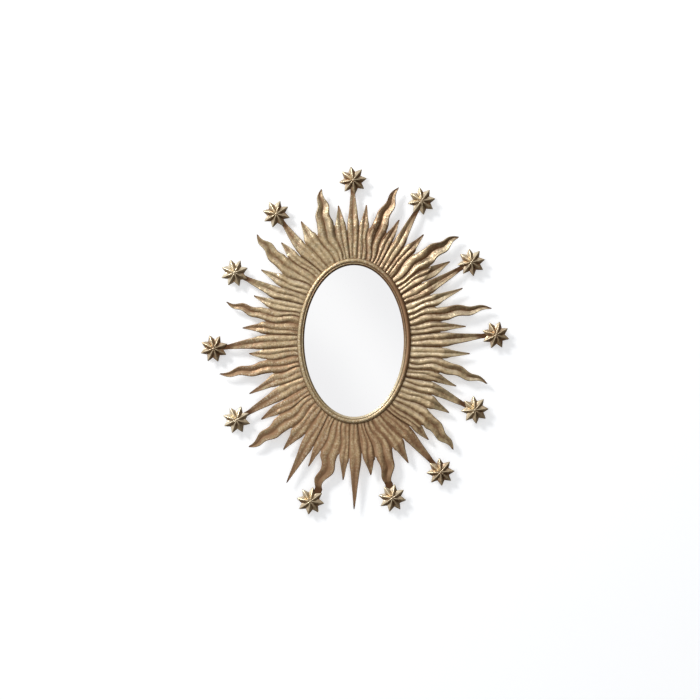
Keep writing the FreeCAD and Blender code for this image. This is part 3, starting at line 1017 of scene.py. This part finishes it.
        root = (base[0] + base[-1]) / 2.0
        way = layout.tip(ray) - root
        outward = way / np.linalg.norm(way)
        side = np.array([outward[2], 0.0, -outward[0]])
        length = np.linalg.norm(way) - (self.star_radius + 1.0 if has_star else 0.0)
        right, left = (layout.valley(number, np.array([1.0])) for number in (ray, ray - 1))
        width = self.widths(kind, ray, np.linalg.norm(right - left), along)
        slack = 0.5 * np.sin(7.0 * along + seed.phase) * along
        sway = self.flame_sway(ray, along) if is_flame else slack
        steps = outward * (length * along)[:, None]
        middle = root + steps + side * sway[:, None]
        straight = middle[:, None, :] + side * (across * width[:, None] / 2.0)[..., None]
        slanted = base + steps[:, None, :]
        points = mix(slanted, straight, smooth(along, 0.0, 0.3)[:, None, None])

        cut = 1.0 - 2.0 * kind.cut
        haste = seed.sharp ** 3
        change = smooth(along, 0.0, mix(0.75, 0.28, haste))[:, None]
        fullness = mix(1.4, 0.9, seed.bold)
        edge = np.cos(np.pi * (cut - 0.5)) ** fullness
        crease = mix(seed.crease[:, trim:-trim], 0.0, change)
        spread = np.abs(across)
        height = self.relief(spread, mix(0.5 / cut, 0.9, change), mix(edge, 0.75, change),
                             crease, fullness)
        height = mix(height, self.fold(spread), change)
        rise = kind.channel * (0.1 + seed.sharp) * width
        rise = rise * (1.0 + 2.0 * self.ripple * np.sin(5.0 * along + seed.phase))
        start = np.clip(base_rise / np.maximum(height[0], 0.08), 0.0, base_rise.max())
        rise = mix(start, rise[:, None], smooth(along, -0.1, mix(0.85, 0.5, haste))[:, None])
        if has_star:
            rise = rise * (1.0 - smooth(along, 0.9, 1.0))[:, None]
        level = mix(layout.flute_level, layout.tip_level, along)[:, None]
        points[..., 1] = -(level + rise * height)

        hollow = (1.0 - height) * mix(0.4 + 0.6 * seed.bold, 0.8 if is_flame else 0.5, change)
        hems = 0.85 * smooth(spread, 0.8, 1.0) * smooth(along, 0.0, 0.15)[:, None]
        reach = mix(self.fluted_reach, 1.0, along ** (2.2 if is_flame else 1.0))[:, None]
        tone = seed.tone + seed.shift * smooth(along, 0.0, 0.3)[:, None]
        run = layout.notch_reach + (length * along)[:, None]
        marks = {"bold": seed.bold, "warm": seed.warm,
                 "strand": self.ray_span * (ray + 0.5 + 0.5 * cut * across)}
        added = surface.add_points(points, hollow=np.maximum(hollow, hems), reach=reach,
                                   tone=tone, run=run, **marks)
        surface.add_quads(grid_quads(np.concatenate([index[-1:, first:stop], added])))
        if has_star:
            tongue = np.linspace(0.0, self.star_radius + 7.0, self.tongue_rows + 1)[1:]
            flat = points[-1] + (outward * tongue[:, None])[:, None, :]
            flat[..., 1] = -layout.tip_level
            # The tongue under the star is marked almost fully hollow: partly a dark joint, partly
            # painted shade under the star
            more = surface.add_points(flat, hollow=0.95, reach=1.0, tone=tone[-1],
                                      run=run[-1], **marks)
            surface.add_quads(grid_quads(np.concatenate([added[-1:], more])))


@dataclass(frozen=True)
class Star:
    """A raised eight-pointed star: a folded ridge on each point and a small boss."""

    layout: Layout
    ray: int
    number: int
    points: int = 8
    radius: float = 35.0
    valley_share: float = 0.65
    valley_height: float = 0.82
    rise: float = 10.5
    sheet: float = 1.2
    rings: int = 22
    boss_radius: float = 3.4
    boss_groove: float = 0.9

    def outline(self, hand: np.random.Generator) -> tuple:
        """The star's outline, by way of its points and its valleys.

        Args:
            hand: The star's random draws.

        Returns:
            Its places, and how near each is to a point's ridge, from 0 to 1.
        """
        corner = np.arange(2 * self.points)
        is_valley = corner % 2 == 1
        radii = np.where(is_valley, self.valley_share, 1.0) * self.radius
        radii = radii * hand.uniform(0.965, 0.99, corner.size)
        angles = np.radians(STAR_TURNS[self.ray] + 180.0 * corner / self.points)
        angles = angles + np.radians(hand.uniform(-2.0, 2.0, corner.size))
        ends = np.stack([np.cos(angles), 0.0 * angles, np.sin(angles)], axis=-1) * radii[:, None]
        fold = np.array([0.0, 0.06, 0.3, 0.55, 0.8, 0.94])
        edge = mix(ends[:, None, :], np.roll(ends, -1, axis=0)[:, None, :], fold[:, None])
        ridge = np.where(is_valley[:, None], fold, 1.0 - fold)
        return edge.reshape(-1, 3), ridge.reshape(-1)

    def build(self) -> bpy.types.Object:
        """Builds the star on a polar grid.

        A ray from the middle to the outline crosses straight edges between the
        points and the valleys. Ridges fall slowly and valleys fast, and the
        height between them is a straight fold.

        Returns:
            The new object.
        """
        hand = np.random.default_rng(STAR_DRAWS + self.number)
        outline, ridge = self.outline(hand)
        share = np.linspace(0.0, 1.0, self.rings + 1)[1:, None]
        high = 1.0 - share ** 1.8
        low = (1.0 - share) ** 1.25 * self.valley_height
        grid = share[..., None] * outline
        distance = np.linalg.norm(grid, axis=-1)
        groove = np.exp(-((distance - self.boss_radius) / 1.4) ** 2)
        height = self.rise * mix(low, high, ridge) - self.boss_groove * groove
        peak = self.layout.tip(self.ray)
        grid = grid + peak
        grid[..., 1] = -(self.layout.tip_level + np.minimum(height, self.rise))
        peak[1] = -(self.layout.tip_level + self.rise)

        dull = by_turn(self.layout.turn(self.ray), DULLNESS, DULL_TURNS)
        hollow = np.maximum((1.0 - ridge) ** 1.4 * (0.5 + 0.5 * share),
                            0.8 * np.exp(-((distance - 3.6) / 1.2) ** 2))
        # bold sets how strong the painted highlight and shade on the star's facets are; dull stars
        # get less
        marks = {"reach": 0.3, "bold": 1.5 - 0.5 * dull, "warm": 0.3}
        surface = Surface()
        index = surface.add_points(grid, hollow=hollow * (1.0 - 0.4 * abs(dull)),
                                   tone=hand.uniform(0.3, 0.8) - 0.15 * dull, **marks)
        surface.add_quads(ring_quads(index))
        surface.close(index[0], peak, True, hollow=0.1, tone=0.7 - 0.25 * dull, **marks)
        piece = surface.make(f"folded_star_{self.number + 1:02d}", Finishes.STARS)
        thicken(piece, self.sheet)
        return piece


@dataclass(frozen=True)
class Rim:
    """The beaded moulding: lip on the glass, inner bead, groove, outer bead and hem."""

    layout: Layout
    around: int = 240
    bead_steps: int = 13
    glass_level: float = 20.0

    def profile(self) -> tuple:
        """The closed section.

        The front is a wall up from the glass, then two half-sine beads with a
        groove between them, and the back follows it a sheet behind.

        Returns:
            Rows of (across, out, hollow), and how many are the lip and inner bead.
        """
        low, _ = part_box("rim")
        seat = -low[1] / METRES - 5.5
        glass = self.glass_level
        step = np.linspace(0.0, 1.0, self.bead_steps)
        arch = np.sin(np.pi * step)
        inner = np.stack([2.5 + 3.7 * step, seat + 2.6 + 1.3 * arch ** 0.6,
                          0.97 - 0.75 * arch], axis=-1)
        outer = np.stack([6.2 + 11.8 * step, mix(seat + 2.6, seat, step) + 4.05 * arch ** 0.62,
                          0.8 - 0.8 * arch ** 0.3], axis=-1)
        lip = np.array([[0.0, glass, 1.0], [0.0, glass + 1.2, 0.9],
                        [1.6, glass + 1.3, 0.9], [2.3, glass + 2.2, 1.0]])
        back = np.array([[16.8, seat, 1.0], [14.6, seat + 3.2, 1.0], [12.0, seat + 3.6, 1.0],
                         [7.6, seat + 0.6, 1.0], [5.4, seat + 1.2, 1.0], [3.8, seat, 1.0],
                         [3.4, glass, 1.0]])
        return np.concatenate([lip, inner, outer[1:], back]), len(lip) + len(inner)

    def build(self) -> bpy.types.Object:
        """Builds the rim: the section carried round the oval, with a painted highlight on the lip
        and inner bead at the bottom.

        Returns:
            The new object.
        """
        section, inner_rows = self.profile()
        across, out, section_hollow = section.T[..., None]
        turn = np.linspace(0.0, FULL_TURN, self.around, endpoint=False)
        angle = np.radians(turn)
        grid = self.layout.oval(across, turn[None, :])
        wander = 0.25 * np.sin(angle * 7.0) + 0.2 * np.sin(angle * 17.0 + 1.0)
        lift = np.clip(out - self.layout.flute_level, 0.0, 2.0) / 2.0
        grid[..., 1] = -(out + np.minimum(wander, 0.0) * lift)

        inner = (np.arange(len(section)) < inner_rows)[:, None]
        right = np.clip(np.cos(np.radians(turn - 75.0)), 0.0, 1.0) ** 3
        # Painted highlight: the lip and inner bead at the bottom face up towards the light, so they
        # are marked less hollow, paler, less red and bolder
        lower = inner * np.clip(0.25 - np.cos(np.radians(turn + 5.0)), 0.0, 1.0)
        hollow = section_hollow * (1.0 - 0.8 * lower) + 0.4 * right * ~inner
        warm = (0.35 + 0.5 * right) * (1.0 - 0.7 * lower) * np.where(inner, 0.4, 1.0)
        tone = 0.42 + 0.15 * np.sin(angle * 3.0) - 0.45 * right + 0.8 * lower
        surface = Surface()
        index = surface.add_points(grid, hollow=np.minimum(hollow, 1.0), reach=0.2,
                                   bold=0.35 + 0.65 * lower, warm=warm, tone=tone)
        surface.add_quads(ring_quads(np.concatenate([index, index[:1]]))[:, ::-1])
        return surface.make("beaded_rim", Finishes.RIM)


# Hanging pieces


@dataclass(frozen=True)
class HangerRing:
    """A D-ring of round wire on its straight bar."""

    side: str
    centre: tuple
    radius: float = 12.0
    wire: float = 3.0
    around: int = 14

    def path(self) -> np.ndarray:
        """The wire's middle line: a half-round bow, then the straight bar.

        Returns:
            The line's points, in order round the ring.
        """
        angle = np.linspace(0.0, np.pi, 41)
        reach = self.radius * 0.97
        bow = np.stack([reach * np.cos(angle), 0.0 * angle, -reach * np.sin(angle) ** 0.9], axis=-1)
        bar = np.linspace(-0.9, 0.9, 13)[:, None] * np.array([[reach, 0.0, 0.0]])
        return np.concatenate([bow, bar]) + np.array(self.centre)

    def build(self) -> bpy.types.Object:
        """Builds the ring: a circle carried along the closed middle line in the wall's plane.

        Returns:
            The new object.
        """
        path = self.path()
        tangent = np.roll(path, -1, axis=0) - np.roll(path, 1, axis=0)
        tangent /= np.linalg.norm(tangent, axis=-1, keepdims=True)
        normal = np.stack([tangent[:, 2], 0.0 * tangent[:, 0], -tangent[:, 0]], axis=-1)
        turn = np.linspace(0.0, 2.0 * np.pi, self.around, endpoint=False)
        offset = (np.cos(turn)[None, :, None] * normal[:, None, :]
                  + np.sin(turn)[None, :, None] * np.array([0.0, 1.0, 0.0]))
        grid = path[:, None, :] + offset * self.wire / 2.0
        surface = Surface()
        index = surface.add_points(grid)
        surface.add_quads(ring_quads(np.concatenate([index, index[:1]]))[:, ::-1])
        return surface.make(f"ring_wire_{self.side}", Finishes.WIRE)


@dataclass(frozen=True)
class Bumper:
    """A square rubber bumper with soft edges."""

    centre: tuple
    width: float = 12.0
    depth: float = 7.0

    def add(self, surface: Surface) -> None:
        """Adds the bumper: superellipse rings, drawn in at the two faces.

        Args:
            surface: Where the bumper is added.
        """
        turn = np.linspace(0.0, 2.0 * np.pi, 40, endpoint=False)
        half = self.width / 2.0
        flat = np.stack([np.sign(np.cos(turn)) * np.abs(np.cos(turn)) ** 0.35, 0.0 * turn,
                         np.sign(np.sin(turn)) * np.abs(np.sin(turn)) ** 0.35], axis=-1) * half
        outs = np.array([0.0, 0.0, 0.3, 1.0, 3.5, 6.0, 6.7, 7.0, 7.0]) / 7.0 * self.depth
        sizes = np.array([0.6, 0.93, 0.98, 1.0, 1.0, 1.0, 0.98, 0.93, 0.6])
        grid = flat[None] * sizes[:, None, None] + np.array(self.centre)
        grid[..., 1] = -outs[:, None]
        index = surface.add_points(grid)
        surface.add_quads(ring_quads(index))
        for row, out, flip in ((0, 0.0, True), (-1, self.depth, False)):
            surface.close(index[row], (self.centre[0], -out, self.centre[2]), flip)


# Stage


@dataclass(frozen=True)
class Studio:
    """White wall, soft key light from the upper left, pale surroundings and the camera."""

    frame_width: float = 1.75
    distance: float = 3.6
    centre: tuple = (-0.010, -0.0225)

    def wall(self) -> None:
        """A white wall that curves into a pale floor far below the mirror."""
        height = np.linspace(2.4, -1.0, 12)
        bend = np.linspace(0.0, 0.5 * np.pi, 12)[1:]
        path = np.concatenate([
            np.stack([0.0 * height + 0.0012, height], axis=-1),
            np.stack([0.0012 - 0.6 * (1.0 - np.cos(bend)), -1.0 - 0.6 * np.sin(bend)], axis=-1),
            np.stack([np.linspace(-1.0, -5.0, 6), np.full(6, -1.6)], axis=-1)])
        across = np.linspace(-3.5, 3.5, 3)
        grid = np.stack(np.broadcast_arrays(across, path[:, :1], path[:, 1:]), axis=-1) / METRES
        surface = Surface()
        surface.add_quads(grid_quads(surface.add_points(grid))[:, ::-1])
        surface.make("studio_wall", WallPaint("studio_white"))

    def light(self) -> None:
        """A large soft lamp at the upper left, a weak fill, and one that shows the back."""
        for name, spot, size, power in (("key", (-3.2, -3.2, 3.2), 1.4, 175.0),
                                        ("fill", (0.4, -3.4, 0.6), 2.4, 14.0),
                                        ("back", (1.0, 2.6, 1.4), 1.6, 30.0)):
            lamp = bpy.data.lights.new(name, "AREA")
            lamp.shape = "DISK"
            lamp.size = size
            lamp.energy = power
            holder = bpy.data.objects.new(name, lamp)
            holder.location = spot
            holder.rotation_euler = (-Vector(spot)).to_track_quat("-Z", "Y").to_euler()
            holder.visible_glossy = name != "fill"
            bpy.context.scene.collection.objects.link(holder)

    def world(self) -> None:
        """Pale surroundings: white in front, bright at the upper left, dim at the lower right."""
        world = bpy.data.worlds.new("pale_studio")
        world.use_nodes = True
        world.node_tree.nodes.clear()
        w = Wiring(world.node_tree)
        ray = w.coordinates("Generated")
        level = w.span(w.slope(ray, (-0.62, -0.45, 0.64)), -0.35, 0.75, 0.14, 1.0)
        front = w.slope(ray, (0.0, -1.0, 0.0))
        behind = w.span(front, -0.35, -0.85, 0.0, 0.7)
        level = w.highest(level, w.span(front, 0.90, 0.985), behind)
        tint = w.blend(level, (1.0, 0.84, 0.66, 1.0), WHITE)
        shine, soft, white = (
            w.make("Background", {"Color": color, "Strength": strength})
            for color, strength in ((tint, level), ((0.93, 0.96, 1.0, 1.0), 0.45), (WHITE, 1.0)))
        is_glossy, is_camera = (w.make("LightPath", {}, f"Is {kind} Ray")
                                for kind in ("Glossy", "Camera"))
        unseen = w.make("MixShader", {0: is_glossy, 1: soft, 2: shine})
        shown = w.make("MixShader", {0: is_camera, 1: unseen, 2: white})
        w.feed(w.node("OutputWorld").inputs["Surface"], shown)
        bpy.context.scene.world = world

    def camera(self) -> None:
        """The camera, straight on, as the photograph has it."""
        lens = bpy.data.cameras.new("straight_on")
        lens.sensor_width = 36.0
        lens.lens = 36.0 * (self.distance - 0.02) / self.frame_width
        holder = bpy.data.objects.new("straight_on", lens)
        holder.location = (self.centre[0], -self.distance, self.centre[1])
        holder.rotation_euler = (math.pi / 2.0, 0.0, 0.0)
        bpy.context.scene.collection.objects.link(holder)
        bpy.context.scene.camera = holder

    def build(self) -> None:
        """Builds the whole studio."""
        self.wall()
        self.light()
        self.world()
        self.camera()
        bpy.context.scene.view_settings.view_transform = "Standard"


def dress_node(name: str, finish: Finish) -> None:
    """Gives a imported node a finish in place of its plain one.

    Args:
        name: The node's name.
        finish: The finish.
    """
    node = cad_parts[name]
    node.data.materials.clear()
    node.data.materials.append(finish.material())


def main() -> None:
    """Builds every piece in order, then the studio."""
    logging.basicConfig(level=logging.INFO, format="%(name)s: %(message)s")
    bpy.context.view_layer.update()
    layout = Layout()
    for number in range(GORES):
        place(Gore(layout, number).build(), FIXED_BODY, "old_gold", f"gore_{number + 1:02d}")
    for number, ray in enumerate(STAR_TURNS):
        place(Star(layout, ray, number).build(), FIXED_BODY, "star_gold", f"star_{number + 1:02d}")
    place(Rim(layout).build(), FIXED_BODY, "rim_gold", "rim")
    for side, sign in (("left", -1.0), ("right", 1.0)):
        ring = HangerRing(side, (sign * HANGER_BAR[0], *HANGER_BAR[1:])).build()
        place(ring, f"hanger_ring_{side}_body", "ring_wire", f"hanger_ring_{side}")
    dress_node("mirror_glass", Finishes.GLASS)
    dress_node("backing_board", Finishes.BOARD)
    for name in ("board_tabs", "pan", "rear_hoop", "hanger_straps"):
        dress_node(name, Finishes.PLAIN)
    bumpers = Surface()
    for turn in BUMPER_TURNS:
        Bumper(tuple(layout.oval(BUMPER_ACROSS, turn))).add(bumpers)
    place(bumpers.make("wall_bumper_set", Finishes.RUBBER), FIXED_BODY, "rubber", "wall_bumpers")
    Studio().build()


if __name__ == "__main__":
    main()
